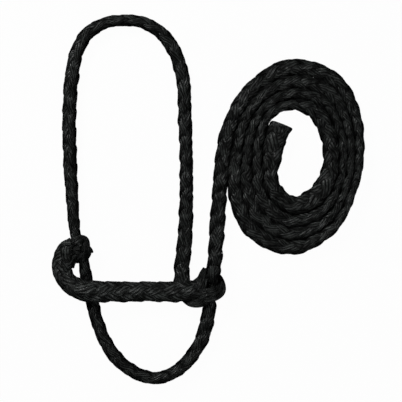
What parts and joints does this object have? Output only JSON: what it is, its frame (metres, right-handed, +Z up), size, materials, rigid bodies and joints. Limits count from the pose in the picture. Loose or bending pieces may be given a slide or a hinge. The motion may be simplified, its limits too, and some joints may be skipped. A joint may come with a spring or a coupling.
{
  "type": "rope halter",
  "caption": "Black braided rope halter for small stock, laid flat: noseband with an eye at each end, crown, chin loop and a lead in an oval coil.",
  "frame": {"origin": "on the surface the halter lies on, under the middle of its box", "axes": "+Z up from that surface, +Y from the chin loop towards the poll, +X from the left eye towards the right eye and the coil"},
  "size_m": [0.2491, 0.2952, 0.0266],
  "materials": {
    "noseband_braid": "matt black hollow braid",
    "buried_tail": "matt black hollow braid",
    "eye_strand": "matt black hollow braid",
    "rope": "matt black hollow braid",
    "fused_end": "melted black fibre"
  },
  "bodies": {
    "noseband": {"noseband_sleeve": "noseband_braid", "noseband_core": "buried_tail", "left_eye": "eye_strand", "left_eye_tail": "eye_strand", "left_eye_pass": "rope", "right_eye": "eye_strand", "right_eye_tail": "eye_strand", "right_eye_pass": "rope"},
    "crown": {"crown_right_cheek": "rope", "crown_left_cheek": "rope"},
    "poll": {"crown_poll": "rope"},
    "chin": {"chin_left_leg": "rope", "chin_right_leg": "rope"},
    "bow": {"chin_bow": "rope"},
    "neck": {"lead_neck": "rope"},
    "bend": {"lead_bend": "rope"},
    "lead": {"lead_run": "rope", "lead_coil": "rope", "lead_end_splice": "rope", "lead_tip": "fused_end"}
  },
  "joints": [
    {"name": "crown_fold", "type": "hinge", "parent": "noseband", "child": "crown", "pos_m": [-0.1056, -0.0226, 0.0098], "axis": [0.9144, -0.4023, -0.0452], "range_deg": [0, 90]},
    {"name": "crown_draw", "type": "slide", "parent": "crown", "child": "poll", "axis": [-0.4028, -0.9153, 0], "range_m": [0, 0.04], "deforming": ["crown_right_cheek", "crown_left_cheek"]},
    {"name": "chin_fold", "type": "hinge", "parent": "noseband", "child": "chin", "pos_m": [-0.0897, -0.0925, 0.0052], "axis": [-1, 0, -0.0033], "range_deg": [0, 90]},
    {"name": "chin_take_up", "type": "slide", "parent": "chin", "child": "bow", "axis": [0, 1, 0], "range_m": [0, 0.012], "deforming": ["chin_left_leg", "chin_right_leg"]},
    {"name": "lead_draw", "type": "slide", "parent": "noseband", "child": "neck", "axis": [0.0958, 0.9954, 0], "range_m": [0, 0.024]},
    {"name": "lead_lift", "type": "hinge", "parent": "neck", "child": "bend", "pos_m": [0.0062, -0.036, 0.0059], "axis": [0.9956, -0.0933, 0], "range_deg": [0, 90]},
    {"name": "lead_swing", "type": "hinge", "parent": "bend", "child": "lead", "pos_m": [0.0077, -0.02, 0.0058], "axis": [0, 0, 1], "range_deg": [-45, 8]}
  ],
  "couplings": [
    {"joint": "chin_take_up", "follows": "lead_draw", "ratio": 0.5}
  ]
}
